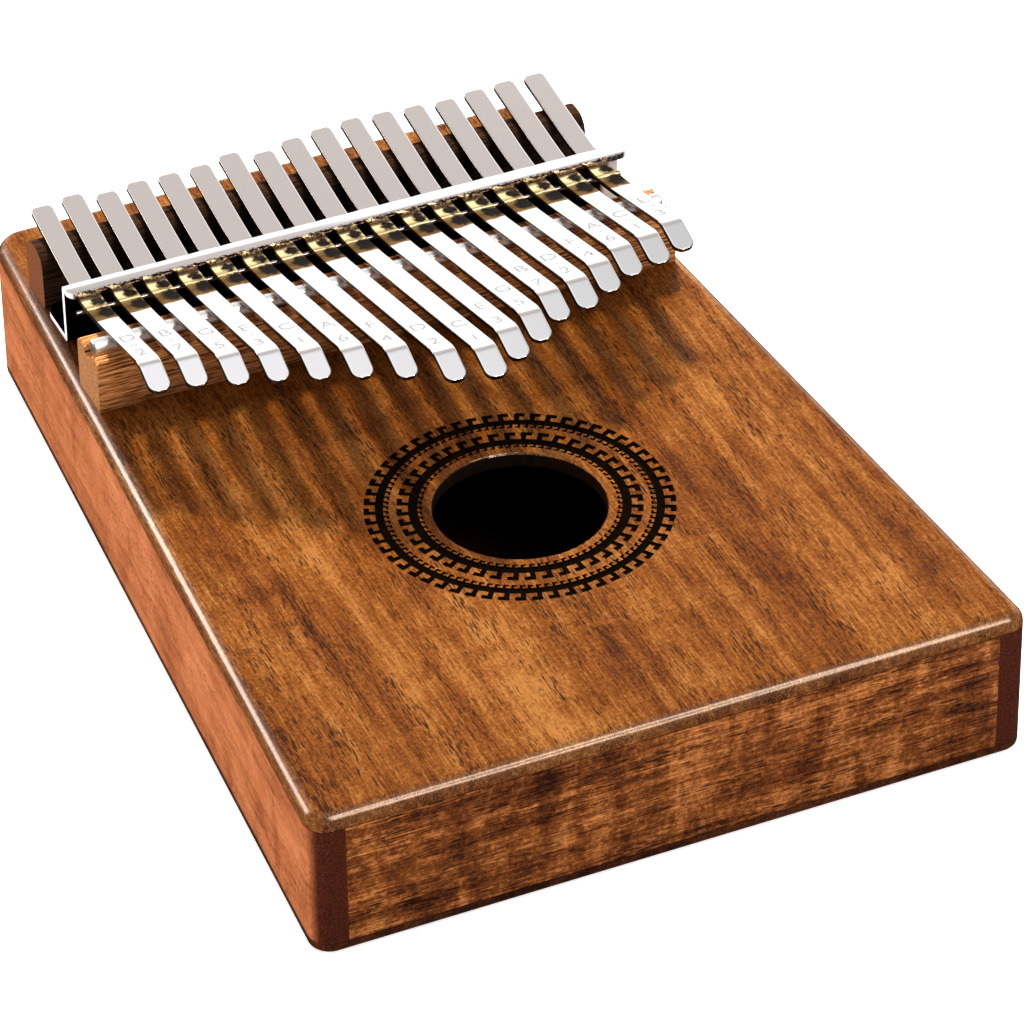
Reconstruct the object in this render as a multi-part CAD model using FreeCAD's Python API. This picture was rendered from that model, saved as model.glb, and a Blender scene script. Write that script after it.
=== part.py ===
"""A 17-note mbira (box kalimba): a tapered wooden sound box with spring-steel tines
held between a wooden saddle, a slotted steel bracket and a wooden bridge with a rod.

Frame: millimetres, origin at the middle of the box's underside, +X to the player's
right, +Y towards the tines' fixed ends (the head), +Z up out of the top board.
"""
import FreeCAD, Part
import math
import os

Vector = FreeCAD.Vector

# Sound box
BODY_LENGTH = 190.0
FOOT_WIDTH = 137.0          # at the player's end, y = -BODY_LENGTH / 2
HEAD_WIDTH = 113.0          # at the far end, y = +BODY_LENGTH / 2
BODY_HEIGHT = 30.0
TOP_THICKNESS = 3.0
BACK_THICKNESS = 2.2
WALL_THICKNESS = 6.3
FOOT_CORNER_RADIUS = 4.0
HEAD_CORNER_RADIUS = 6.0
TOP_EDGE_RADIUS = 2.8
BOTTOM_EDGE_RADIUS = 1.2
SOUND_HOLE_RADIUS = 15.9
SOUND_HOLE_Y = -28.0
SOUND_HOLE_EDGE = 0.4       # softened rim

# Block glued inside, under the bracket and the saddle
ANCHOR_HALF_LENGTH = 50.0
ANCHOR_BACK_Y = 75.0
ANCHOR_FRONT_Y = 50.0
ANCHOR_HEIGHT = 13.0

# Wooden bridge with the steel rod sunk in its top
BRIDGE_HALF_LENGTH = 58.5
BRIDGE_FRONT_Y = 30.3
BRIDGE_BACK_Y = 40.7
BRIDGE_HEIGHT = 10.8
BRIDGE_EDGE_RADIUS = 1.0
ROD_RADIUS = 1.7
ROD_HALF_LENGTH = 57.5
ROD_Y = 35.5
ROD_Z = 41.0
ROD_END_CHAMFER = 0.3
FIT_GAP = 0.02              # clearance between pieces that touch on a curved face

# Wooden saddle under the tines' fixed ends
SADDLE_HALF_LENGTH = 56.0
SADDLE_FRONT_Y = 66.0
SADDLE_BACK_Y = 74.5
SADDLE_HEIGHT = 12.0
SADDLE_EDGE_RADIUS = 3.5

# Steel bracket: foot flange screwed to the top board, slotted web, pressure flange
BRACKET_THICKNESS = 1.2
BRACKET_LEFT = -56.0
BRACKET_RIGHT = 57.3
WEB_FRONT_Y = 54.0
FOOT_FLANGE_BACK_Y = 65.8
FOOT_FLANGE_CORNER = 3.0
PRESSURE_OVERHANG = 1.3     # the pressure flange runs past the web at the right end
PRESSURE_FRONT_Y = 51.3
PRESSURE_FRONT_Z = 41.15    # underside, at the front lip
PRESSURE_BACK_Z = 42.62     # top, at the web
PRESSURE_CORNER = 2.0
OVERHANG_STEP = 0.3         # the web's right edge ends this far below the flange
WAIST_HEIGHT = 3.0          # between the foot flange's outline and the pressure flange's
BEND_RADIUS = 1.0
SLOT_SIDE_GAP = 0.3
SLOT_BOTTOM_Z = 39.5
SLOT_TOP_Z = 41.45
SCREW_COUNT = 5
SCREW_SPACING = 23.0
SCREW_Y = 60.6
SCREW_RADIUS = 1.5
SCREW_LENGTH = 12.0
SCREW_HEAD_RADIUS = 2.9
SCREW_HEAD_HEIGHT = 1.8
SCREW_HEAD_ROUNDING = 1.08
SCREW_SLOT_WIDTH = 0.7
SCREW_SLOT_DEPTH = 0.9
SCREW_HOLE_GAP = 0.05

# Thin wire under all the tines, just in front of the web
WIRE_RADIUS = 0.5
WIRE_Y = 49.0
WIRE_HALF_LENGTH = 55.5

# Tines: spring-steel strips, numbered 1 to 17 from the player's left
TINE_COUNT = 17
MIDDLE_TINE = 9
TINE_PITCH = 6.487
TINE_WIDTH = 4.35
TINE_THICKNESS = 1.0
TINE_TIP_RADIUS = 1.95      # corner rounding of the tip, seen from above
TINE_BACK_RADIUS = 1.3      # corner rounding of the back end
TINE_FAN = 0.021            # degrees of splay for each millimetre off the middle
BAR_Y = 52.0                # where the pressure flange holds every tine down
TINE_LOW_Z = 40.1           # underside of a tine there
END_SLOPE_RATIO = 1.5       # slope at a support for each unit of rise over span
SETTLING_ROUNDS = 8
CURVE_STEPS = 5             # points along each bent span of a tine's outline
TOUCH_GAP = 0.04
HINGE_SPLIT = 0.12          # saw cut between the held end and the playing end
TIP_DROP_DEG = 20.0         # slope of the bent-down tip below level
TIP_LENGTH = 7.2
TIP_BEND_RADIUS = 3.5       # inside of the bend
# From the rod forward to the tip's bend, tine 1 to tine 17: longest in the middle
PLAYING_LENGTHS = [17, 19, 23, 26, 30, 34, 39, 45.5, 48.5, 43.5, 38.5, 32, 30, 25.5, 21, 19, 15.5]
# Place of each tine's back end; they are tapped in and out to tune the notes
BACK_END_Y = [
    78.8, 79.7, 78.2, 79.0, 78.9, 79.0, 80.2, 78.4, 80.0,
    80.8, 81.3, 80.9, 80.5, 80.0, 80.6, 80.9, 80.9,
]

TOP_Z = BODY_HEIGHT
INSIDE_TOP_Z = BODY_HEIGHT - TOP_THICKNESS
HALF_LENGTH = BODY_LENGTH / 2
TAPER_ANGLE = math.atan((FOOT_WIDTH - HEAD_WIDTH) / 2 / BODY_LENGTH)
FAR = 400.0                 # larger than the whole object, for cutting
CUT_MARGIN = 1.0            # how far a cutting shape runs past what it cuts
CLEAN_CUT = 0.001           # keeps a cut from sharing a face with the sheet
TOLERANCE = 1e-4


def box(low, high):
    """Box between two opposite corners."""
    size = [b - a for a, b in zip(low, high)]
    return Part.makeBox(size[0], size[1], size[2], Vector(*low))


def prism(points, direction):
    """Straight-sided solid from a flat outline, swept by a vector."""
    outline = Part.makePolygon([Vector(*point) for point in points + points[:1]])
    return Part.Face(outline).extrude(Vector(*direction))


def edges_where(shape, keep):
    """Edges of a shape that pass a test."""
    return [edge for edge in shape.Edges if keep(edge)]


def along(edge, axis):
    """True for a straight edge that runs along a unit vector."""
    if edge.Curve.TypeId != "Part::GeomLine":
        return False
    return abs(abs(edge.tangentAt(edge.FirstParameter).dot(axis)) - 1) < TOLERANCE


def lies_at_height(edge, height):
    """True for an edge that lies wholly in a level plane."""
    bounds = edge.BoundBox
    return abs(bounds.ZMin - height) < TOLERANCE and abs(bounds.ZMax - height) < TOLERANCE


def half_width(y):
    """Half the width of the box at a place along its length."""
    share = (y + HALF_LENGTH) / BODY_LENGTH
    return FOOT_WIDTH / 2 + share * (HEAD_WIDTH - FOOT_WIDTH) / 2


# ---------------------------------------------------------------- sound box

def body_block():
    """The whole box as one block, with its corners and edges rounded."""
    foot = FOOT_WIDTH / 2
    head = HEAD_WIDTH / 2
    corners = [
        (-foot, -HALF_LENGTH, 0),
        (foot, -HALF_LENGTH, 0),
        (head, HALF_LENGTH, 0),
        (-head, HALF_LENGTH, 0),
    ]
    block = prism(corners, (0, 0, BODY_HEIGHT))
    upright = edges_where(block, lambda e: along(e, Vector(0, 0, 1)))
    at_foot = [e for e in upright if e.BoundBox.YMin < 0]
    block = block.makeFillet(FOOT_CORNER_RADIUS, at_foot)
    upright = edges_where(block, lambda e: along(e, Vector(0, 0, 1)))
    at_head = [e for e in upright if e.BoundBox.YMin > HALF_LENGTH - TOLERANCE]
    block = block.makeFillet(HEAD_CORNER_RADIUS, at_head)
    top_edges = edges_where(block, lambda e: lies_at_height(e, BODY_HEIGHT))
    block = block.makeFillet(TOP_EDGE_RADIUS, top_edges)
    bottom_edges = edges_where(block, lambda e: lies_at_height(e, 0))
    return block.makeFillet(BOTTOM_EDGE_RADIUS, bottom_edges)


def layer(block, low_z, high_z):
    """The part of a block between two heights."""
    return block.common(box((-FAR, -FAR, low_z), (FAR, FAR, high_z)))


def side_strip(side):
    """The strip of plan that one long side board fills; side is -1 for left, +1 for right."""
    thickness = WALL_THICKNESS / math.cos(TAPER_ANGLE)
    foot_y = -HALF_LENGTH - CUT_MARGIN
    head_y = HALF_LENGTH + CUT_MARGIN
    inner = [(side * (half_width(y) - thickness), y, 0) for y in (foot_y, head_y)]
    outer = [(side * FAR, head_y, 0), (side * FAR, foot_y, 0)]
    return prism(inner + outer, (0, 0, BODY_HEIGHT))


def screw_places():
    """Where the bracket's screws stand, along X."""
    middle = (SCREW_COUNT - 1) / 2
    return [(index - middle) * SCREW_SPACING for index in range(SCREW_COUNT)]


def screw_holes(low_z, high_z):
    """Cutting shape for all the screws' holes between two heights."""
    radius = SCREW_RADIUS + SCREW_HOLE_GAP
    depth = high_z - low_z
    holes = [Part.makeCylinder(radius, depth, Vector(x, SCREW_Y, low_z)) for x in screw_places()]
    return Part.makeCompound(holes)


def top_board(block):
    """Top board with its sound hole and the screws' holes."""
    board = layer(block, INSIDE_TOP_Z, BODY_HEIGHT)
    hole_bottom = Vector(0, SOUND_HOLE_Y, INSIDE_TOP_Z - CUT_MARGIN)
    hole = Part.makeCylinder(SOUND_HOLE_RADIUS, TOP_THICKNESS + 2 * CUT_MARGIN, hole_bottom)
    board = board.cut(hole)
    rim = [
        e for e in board.Edges
        if e.Curve.TypeId == "Part::GeomCircle"
        and abs(e.Curve.Radius - SOUND_HOLE_RADIUS) < TOLERANCE
        and lies_at_height(e, BODY_HEIGHT)
    ]
    board = board.makeFillet(SOUND_HOLE_EDGE, rim)
    return board.cut(screw_holes(INSIDE_TOP_Z - CUT_MARGIN, BODY_HEIGHT + CUT_MARGIN))


def box_parts():
    """The six boards of the box, each with its share of the rounded outside."""
    block = body_block()
    walls = layer(block, BACK_THICKNESS, INSIDE_TOP_Z)
    left = side_strip(-1)
    right = side_strip(1)
    between = walls.cut(left).cut(right)
    foot_zone = box((-FAR, -FAR, 0), (FAR, -HALF_LENGTH + WALL_THICKNESS, BODY_HEIGHT))
    head_zone = box((-FAR, HALF_LENGTH - WALL_THICKNESS, 0), (FAR, FAR, BODY_HEIGHT))
    return {
        "top_board": top_board(block),
        "back_board": layer(block, 0, BACK_THICKNESS),
        "left_side": walls.common(left),
        "right_side": walls.common(right),
        "foot_end_panel": between.common(foot_zone),
        "head_end_panel": between.common(head_zone),
    }


def anchor_block():
    """Block glued inside that gives the bracket's screws their hold."""
    block = box(
        (-ANCHOR_HALF_LENGTH, ANCHOR_FRONT_Y, INSIDE_TOP_Z - ANCHOR_HEIGHT),
        (ANCHOR_HALF_LENGTH, ANCHOR_BACK_Y, INSIDE_TOP_Z),
    )
    screw_tip_z = TOP_Z + BRACKET_THICKNESS - SCREW_LENGTH
    return block.cut(screw_holes(screw_tip_z, INSIDE_TOP_Z + CUT_MARGIN))


# ---------------------------------------------------------------- bridge, rod, saddle

def bridge():
    """Bar of wood with rounded top edges and a groove for the rod."""
    bar = box(
        (-BRIDGE_HALF_LENGTH, BRIDGE_FRONT_Y, TOP_Z),
        (BRIDGE_HALF_LENGTH, BRIDGE_BACK_Y, TOP_Z + BRIDGE_HEIGHT),
    )
    top_edges = edges_where(bar, lambda e: lies_at_height(e, TOP_Z + BRIDGE_HEIGHT))
    bar = bar.makeFillet(BRIDGE_EDGE_RADIUS, top_edges)
    groove_start = Vector(-FAR, ROD_Y, ROD_Z)
    groove = Part.makeCylinder(ROD_RADIUS + FIT_GAP, 2 * FAR, groove_start, Vector(1, 0, 0))
    return bar.cut(groove)


def rod():
    """Round steel bar with chamfered ends."""
    start = Vector(-ROD_HALF_LENGTH, ROD_Y, ROD_Z)
    bar = Part.makeCylinder(ROD_RADIUS, 2 * ROD_HALF_LENGTH, start, Vector(1, 0, 0))
    rims = [e for e in bar.Edges if e.Curve.TypeId == "Part::GeomCircle"]
    return bar.makeChamfer(ROD_END_CHAMFER, rims)


def saddle():
    """Bar of wood with its two long top edges well rounded."""
    bar = box(
        (-SADDLE_HALF_LENGTH, SADDLE_FRONT_Y, TOP_Z),
        (SADDLE_HALF_LENGTH, SADDLE_BACK_Y, TOP_Z + SADDLE_HEIGHT),
    )
    top_long_edges = edges_where(
        bar, lambda e: lies_at_height(e, TOP_Z + SADDLE_HEIGHT) and along(e, Vector(1, 0, 0))
    )
    return bar.makeFillet(SADDLE_EDGE_RADIUS, top_long_edges)


# ---------------------------------------------------------------- bracket

def bracket_profile():
    """Z-shaped section in the YZ plane at x = 0: foot flange, web and pressure flange."""
    web_back = WEB_FRONT_Y + BRACKET_THICKNESS
    lip_top = PRESSURE_FRONT_Z + BRACKET_THICKNESS
    slope = (PRESSURE_BACK_Z - lip_top) / (web_back - PRESSURE_FRONT_Y)
    inner_corner_z = PRESSURE_FRONT_Z + slope * (WEB_FRONT_Y - PRESSURE_FRONT_Y)
    return [
        (0, WEB_FRONT_Y, TOP_Z),
        (0, FOOT_FLANGE_BACK_Y, TOP_Z),
        (0, FOOT_FLANGE_BACK_Y, TOP_Z + BRACKET_THICKNESS),
        (0, web_back, TOP_Z + BRACKET_THICKNESS),
        (0, web_back, PRESSURE_BACK_Z),
        (0, PRESSURE_FRONT_Y, lip_top),
        (0, PRESSURE_FRONT_Y, PRESSURE_FRONT_Z),
        (0, WEB_FRONT_Y, inner_corner_z),
    ]


def rounded_plan(low, high, radius, is_round):
    """Upright block with the chosen corners rounded; is_round tells them by their x, y."""
    block = box((low[0], low[1], TOP_Z - CUT_MARGIN), (high[0], high[1], FAR))
    corners = edges_where(
        block,
        lambda e: along(e, Vector(0, 0, 1)) and is_round(e.BoundBox.XMin, e.BoundBox.YMin),
    )
    return block.makeFillet(radius, corners)


def bracket_sheet():
    """The bent sheet, still square at its corners and without its slots and holes."""
    width = BRACKET_RIGHT - BRACKET_LEFT + PRESSURE_OVERHANG
    sheet = prism(bracket_profile(), (width, 0, 0))
    sheet.translate(Vector(BRACKET_LEFT, 0, 0))
    long_edges = edges_where(sheet, lambda e: along(e, Vector(1, 0, 0)))
    upper_bend = [e for e in long_edges if abs(e.BoundBox.ZMax - PRESSURE_BACK_Z) < TOLERANCE]
    lower_bend = [
        e for e in long_edges
        if abs(e.BoundBox.ZMax - TOP_Z) < TOLERANCE and abs(e.BoundBox.YMax - WEB_FRONT_Y) < TOLERANCE
    ]
    sheet = sheet.makeFillet(BEND_RADIUS, upper_bend + lower_bend)
    step_z = PRESSURE_FRONT_Z - OVERHANG_STEP
    return sheet.cut(box((BRACKET_RIGHT, 0, TOP_Z - CUT_MARGIN), (FAR, FAR, step_z)))


def bracket():
    """Foot flange, slotted web and pressure flange, with rounded outer corners."""
    sheet = bracket_sheet()
    waist_z = TOP_Z + WAIST_HEIGHT
    plan_low = (BRACKET_LEFT, PRESSURE_FRONT_Y)
    plan_high = (BRACKET_RIGHT + PRESSURE_OVERHANG, FOOT_FLANGE_BACK_Y)
    front = rounded_plan(plan_low, plan_high, PRESSURE_CORNER, lambda x, y: y < WEB_FRONT_Y)
    sheet = sheet.common(front)
    foot = rounded_plan(
        plan_low, (BRACKET_RIGHT, FOOT_FLANGE_BACK_Y), FOOT_FLANGE_CORNER, lambda x, y: y > WEB_FRONT_Y
    )
    upper = sheet.common(box((-FAR, 0, waist_z), (FAR, FAR, FAR)))
    lower = sheet.common(foot).common(box((-FAR, 0, 0), (FAR, FAR, waist_z)))
    sheet = upper.fuse(lower).removeSplitter()
    for number in range(1, TINE_COUNT + 1):
        sheet = sheet.cut(web_slot(tine_x(number)))
    return sheet.cut(screw_holes(TOP_Z - CUT_MARGIN, TOP_Z + BRACKET_THICKNESS + CUT_MARGIN))


def web_slot(x):
    """Cutting shape for the slot that one tine passes through."""
    half = TINE_WIDTH / 2 + SLOT_SIDE_GAP
    return box(
        (x - half, WEB_FRONT_Y - CLEAN_CUT, SLOT_BOTTOM_Z),
        (x + half, WEB_FRONT_Y + BRACKET_THICKNESS + CUT_MARGIN, SLOT_TOP_Z),
    )


def screw(x):
    """Pan-head wood screw with a straight driver slot."""
    seat_z = TOP_Z + BRACKET_THICKNESS
    shank_foot = Vector(x, SCREW_Y, seat_z - SCREW_LENGTH)
    shank = Part.makeCylinder(SCREW_RADIUS, SCREW_LENGTH, shank_foot)
    head = Part.makeCylinder(SCREW_HEAD_RADIUS, SCREW_HEAD_HEIGHT, Vector(x, SCREW_Y, seat_z))
    top_rim = edges_where(head, lambda e: lies_at_height(e, seat_z + SCREW_HEAD_HEIGHT))
    head = head.makeFillet(SCREW_HEAD_ROUNDING, top_rim)
    half = SCREW_SLOT_WIDTH / 2
    slot = box(
        (x - FAR, SCREW_Y - half, seat_z + SCREW_HEAD_HEIGHT - SCREW_SLOT_DEPTH),
        (x + FAR, SCREW_Y + half, FAR),
    )
    return shank.fuse(head).cut(slot).removeSplitter()


# ---------------------------------------------------------------- tines

def tine_x(number):
    """Middle of a tine across the box, where the flange holds it."""
    return (number - MIDDLE_TINE) * TINE_PITCH


def bent_span(support_y, support_z, support_radius):
    """Shape of a tine's underside between the pressure flange and a round support.

    Level under the flange and free of bending at the support, as an elastic strip is.
    Height and slope depend on each other and settle within a few rounds.
    Returns the span, the height over the support and the slope there.
    """
    span = abs(support_y - BAR_Y)
    slope = 0.0
    for _ in range(SETTLING_ROUNDS):
        height = support_z + (support_radius + TOUCH_GAP) * math.hypot(1, slope)
        slope = END_SLOPE_RATIO * (height - TINE_LOW_Z) / span
    return span, height, slope


ROD_SPAN = bent_span(ROD_Y, ROD_Z, ROD_RADIUS)
SADDLE_CREST_Y = SADDLE_FRONT_Y + SADDLE_EDGE_RADIUS
SADDLE_CREST_Z = TOP_Z + SADDLE_HEIGHT - SADDLE_EDGE_RADIUS
SADDLE_SPAN = bent_span(SADDLE_CREST_Y, SADDLE_CREST_Z, SADDLE_EDGE_RADIUS)


def underside(y):
    """Height of a tine's underside, and its rise for each millimetre away from the flange."""
    reach = abs(y - BAR_Y)
    span, height, slope = ROD_SPAN if y < BAR_Y else SADDLE_SPAN
    if reach >= span:
        return height + slope * (reach - span), slope
    share = reach / span
    rise = slope * span * (share ** 2 - share ** 3 / 3)
    return TINE_LOW_Z + rise, slope * (2 * share - share ** 2)


def strip_point(y, offset):
    """Point of the strip at a distance above its underside, measured square to it."""
    height, slope = underside(y)
    lean = math.copysign(slope, y - BAR_Y)
    length = math.hypot(1, lean)
    return Vector(0, y - offset * lean / length, height + offset / length)


def curve_places():
    """Places along the bent part of a tine, from the rod back to the saddle."""
    front_step = (BAR_Y - ROD_Y) / CURVE_STEPS
    back_step = (SADDLE_CREST_Y - BAR_Y) / CURVE_STEPS
    front = [ROD_Y + front_step * index for index in range(CURVE_STEPS)]
    back = [BAR_Y + back_step * index for index in range(CURVE_STEPS + 1)]
    return front + back


def bent_curve(offset):
    """Edge of a tine's bent part, at a distance above its underside."""
    points = [strip_point(y, offset) for y in curve_places()]
    first_slope = ROD_SPAN[2]
    last_slope = SADDLE_SPAN[2]
    curve = Part.BSplineCurve()
    curve.interpolate(
        Points=points,
        InitialTangent=Vector(0, 1, -first_slope),
        FinalTangent=Vector(0, 1, last_slope),
    )
    return curve.toShape()


def tip_arc(bend_point, radius, rise_angle):
    """Start, middle and end of the tip's bend, in the YZ plane."""
    turn = rise_angle + math.radians(TIP_DROP_DEG)
    run = radius * math.tan(turn / 2)
    start = bend_point + Vector(0, math.cos(rise_angle), -math.sin(rise_angle)) * run
    centre = start + Vector(0, -math.sin(rise_angle), -math.cos(rise_angle)) * radius
    middle_angle = turn / 2 - rise_angle
    middle = centre + Vector(0, -math.sin(middle_angle), math.cos(middle_angle)) * radius
    drop = math.radians(TIP_DROP_DEG)
    end = centre + Vector(0, -math.sin(drop), math.cos(drop)) * radius
    return start, middle, end


def tine_profile(number):
    """Closed outline of a tine seen from the side."""
    rise_angle = math.atan(ROD_SPAN[2])
    drop = math.radians(TIP_DROP_DEG)
    bend_y = ROD_Y - PLAYING_LENGTHS[number - 1]
    back_y = BACK_END_Y[number - 1]
    outer_bend = strip_point(bend_y, TINE_THICKNESS)
    outer_radius = TIP_BEND_RADIUS + TINE_THICKNESS
    top_start, top_middle, top_end = tip_arc(outer_bend, outer_radius, rise_angle)
    inward = (rise_angle + drop) / 2 - rise_angle
    to_inner = TINE_THICKNESS / math.cos((rise_angle + drop) / 2)
    inner_bend = outer_bend + Vector(0, math.sin(inward), -math.cos(inward)) * to_inner
    low_start, low_middle, low_end = tip_arc(inner_bend, TIP_BEND_RADIUS, rise_angle)
    tip_top = outer_bend + Vector(0, -math.cos(drop), -math.sin(drop)) * TIP_LENGTH
    tip_low = tip_top + Vector(0, math.sin(drop), -math.cos(drop)) * TINE_THICKNESS
    back_top = strip_point(back_y, TINE_THICKNESS)
    back_low = strip_point(back_y, 0)
    top_curve = bent_curve(TINE_THICKNESS)
    low_curve = bent_curve(0)
    top_front, top_back = top_curve.Vertexes[0].Point, top_curve.Vertexes[-1].Point
    low_front, low_back = low_curve.Vertexes[0].Point, low_curve.Vertexes[-1].Point
    edges = [
        Part.makeLine(tip_low, tip_top),
        Part.makeLine(tip_top, top_end),
        Part.Arc(top_end, top_middle, top_start).toShape(),
        Part.makeLine(top_start, top_front),
        top_curve,
        Part.makeLine(top_back, back_top),
        Part.makeLine(back_top, back_low),
        Part.makeLine(back_low, low_back),
        low_curve,
        Part.makeLine(low_front, low_start),
        Part.Arc(low_start, low_middle, low_end).toShape(),
        Part.makeLine(low_end, tip_low),
    ]
    return Part.Wire(Part.__sortEdges__(edges))


def tine_plan(profile_bounds):
    """Upright block with the tine's rounded outline seen from above."""
    half = TINE_WIDTH / 2
    block = box((-half, profile_bounds.YMin, TOP_Z), (half, profile_bounds.YMax, FAR))
    upright = edges_where(block, lambda e: along(e, Vector(0, 0, 1)))
    block = block.makeFillet(TINE_TIP_RADIUS, [e for e in upright if e.BoundBox.YMin < BAR_Y])
    upright = edges_where(block, lambda e: along(e, Vector(0, 0, 1)))
    back = [e for e in upright if e.BoundBox.YMin > profile_bounds.YMax - TOLERANCE]
    return block.makeFillet(TINE_BACK_RADIUS, back)


def tine(number):
    """One whole tine in its place, before it is parted at the rod."""
    wire = tine_profile(number)
    strip = Part.Face(wire).extrude(Vector(TINE_WIDTH, 0, 0))
    strip.translate(Vector(-TINE_WIDTH / 2, 0, 0))
    strip = strip.common(tine_plan(wire.BoundBox))
    strip.translate(Vector(tine_x(number), 0, 0))
    strip.rotate(Vector(tine_x(number), BAR_Y, 0), Vector(0, 0, 1), tine_x(number) * TINE_FAN)
    return strip


def tine_parts(number):
    """The held end stays still; the playing end flexes about the top of the rod."""
    whole = tine(number)
    held = whole.common(box((-FAR, ROD_Y + HINGE_SPLIT / 2, 0), (FAR, FAR, FAR)))
    playing = whole.common(box((-FAR, -FAR, 0), (FAR, ROD_Y - HINGE_SPLIT / 2, FAR)))
    return {f"tine_{number:02d}_held_end": held, f"tine_{number:02d}_playing_end": playing}


def wire():
    """Straight wire that lies against the underside of every tine."""
    height, slope = underside(WIRE_Y)
    centre_z = height - (WIRE_RADIUS + TOUCH_GAP) * math.hypot(1, slope)
    start = Vector(-WIRE_HALF_LENGTH, WIRE_Y, centre_z)
    return Part.makeCylinder(WIRE_RADIUS, 2 * WIRE_HALF_LENGTH, start, Vector(1, 0, 0))


# ---------------------------------------------------------------- all the pieces

def all_parts():
    """Every piece of the instrument, by its node's name."""
    parts = box_parts()
    parts["anchor_block"] = anchor_block()
    parts["front_bridge"] = bridge()
    parts["bridge_rod"] = rod()
    parts["rear_saddle"] = saddle()
    parts["tine_bracket"] = bracket()
    parts["bracket_screws"] = Part.makeCompound([screw(x) for x in screw_places()])
    parts["damping_wire"] = wire()
    for number in range(1, TINE_COUNT + 1):
        parts.update(tine_parts(number))
    return parts


def main():
    """Writes each piece to its own STEP file."""
    os.makedirs("parts", exist_ok=True)
    for name, shape in all_parts().items():
        solids = shape.Solids
        kept = solids[0] if len(solids) == 1 else Part.makeCompound(solids)
        kept.exportStep(f"parts/{name}.step")
        print(f"{name}: {len(solids)} solid(s), valid {kept.isValid()}, {kept.Volume:.1f} mm3")


main()
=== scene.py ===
"""Looks of a 17-note mbira (box kalimba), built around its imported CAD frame.

Lengths written as N * MM are millimetres; everything else is in metres.
"""
import bmesh
import bpy
import math
from mathutils import Matrix, Vector
from mathutils.geometry import delaunay_2d_cdt


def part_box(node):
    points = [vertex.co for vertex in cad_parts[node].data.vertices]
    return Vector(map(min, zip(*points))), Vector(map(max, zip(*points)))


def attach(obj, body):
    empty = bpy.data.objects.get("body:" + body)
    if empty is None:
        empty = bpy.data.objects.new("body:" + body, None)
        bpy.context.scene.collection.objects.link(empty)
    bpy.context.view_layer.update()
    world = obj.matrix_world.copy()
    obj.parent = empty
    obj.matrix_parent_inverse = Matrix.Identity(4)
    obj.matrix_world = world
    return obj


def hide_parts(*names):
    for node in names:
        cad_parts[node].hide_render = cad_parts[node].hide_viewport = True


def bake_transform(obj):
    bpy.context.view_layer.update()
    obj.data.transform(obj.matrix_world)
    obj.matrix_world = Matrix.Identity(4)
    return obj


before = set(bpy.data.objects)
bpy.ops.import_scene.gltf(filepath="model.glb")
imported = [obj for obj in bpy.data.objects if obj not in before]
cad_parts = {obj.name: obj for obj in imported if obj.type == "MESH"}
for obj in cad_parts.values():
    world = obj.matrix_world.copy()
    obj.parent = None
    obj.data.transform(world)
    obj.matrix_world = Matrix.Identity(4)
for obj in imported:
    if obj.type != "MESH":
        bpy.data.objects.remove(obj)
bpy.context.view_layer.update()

MM = 0.001
ROOT = "instrument"
TINES = range(1, 18)
MIDDLE_TINE = 9

# Sizes that the frame gives
BOARD_LOW, BOARD_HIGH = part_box("top_board")
ROD_LOW, ROD_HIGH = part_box("bridge_rod")
SADDLE_LOW, SADDLE_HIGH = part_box("rear_saddle")
TOP_Z = BOARD_HIGH.z
UNDER_TOP_Z = BOARD_LOW.z
BACK_TOP_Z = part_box("back_board")[1].z

# Tines: spring-steel strips bent over the rod and the saddle by the bracket's flange
PITCH = 6.487 * MM
STRIP_WIDTH = 4.35 * MM
STRIP_THICKNESS = 1.0 * MM
STRIP_EDGE = 0.22 * MM          # rounding of the strip's long edges
STRIP_TIP = 1.95 * MM           # rounding of its tip, seen from above
STRIP_BACK = 1.3 * MM           # rounding of its back corners
STRIP_BACK_GAP = 0.1 * MM       # by how much it stays inside its CAD box at the back
STRIP_FAN = 0.021               # degrees of splay for each millimetre off the middle
BAR_Y = 52.0 * MM
BAR_UNDERSIDE = 40.1 * MM       # underside of a tine where the flange holds it down
TOUCH_GAP = 0.04 * MM
ROD_Y = (ROD_LOW.y + ROD_HIGH.y) / 2
ROD_RADIUS = (ROD_HIGH.z - ROD_LOW.z) / 2
ROD_Z = ROD_HIGH.z - ROD_RADIUS
SADDLE_RADIUS = 3.5 * MM
SADDLE_Y = SADDLE_LOW.y + SADDLE_RADIUS
SADDLE_Z = SADDLE_HIGH.z - SADDLE_RADIUS
PLAYING_LENGTHS = [17, 19, 23, 26, 30, 34, 39, 45.5, 48.5, 43.5, 38.5, 32, 30, 25.5, 21, 19, 15.5]
TIP_DROP = math.radians(20)
TIP_LENGTH = 7.2 * MM
TIP_BEND = 4.0 * MM             # bend radius at mid-thickness

# Painted reflections on the tines between the rod and the flange. A stop is a share of the way
# from start to end with its colour. A blotch, a dark painted reflection, is its place on a tine (across, y)
# and its two radii.
REFLECTION_START = 40.9 * MM
REFLECTION_END = 53.0 * MM
PAINTED_REFLECTION_STOPS = [
    (0.03, (0.16, 0.085, 0.022)), (0.26, (0.085, 0.045, 0.010)), (0.45, (0.18, 0.11, 0.035)),
    (0.495, (0.70, 0.62, 0.40)), (0.53, (0.22, 0.14, 0.05)), (0.60, (0.52, 0.42, 0.22)),
    (0.76, (0.58, 0.50, 0.30)), (0.84, (0.10, 0.05, 0.015)),
]
REFLECTION_DRIFT = 0.7 * MM           # how far the painted reflection's borders wander
PAINTED_REFLECTION_BLOTCHES = [
    (0.75 * MM, 49.1 * MM, 1.7 * MM, 1.9 * MM),
    (0.75 * MM, 44.3 * MM, 2.1 * MM, 2.9 * MM),
]
STEEL = (0.93, 0.925, 0.93)
# Near black for painted shade in the channel and for painted reflections on the tines
PAINTED_BLACK = (0.004, 0.002, 0.001)
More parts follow.
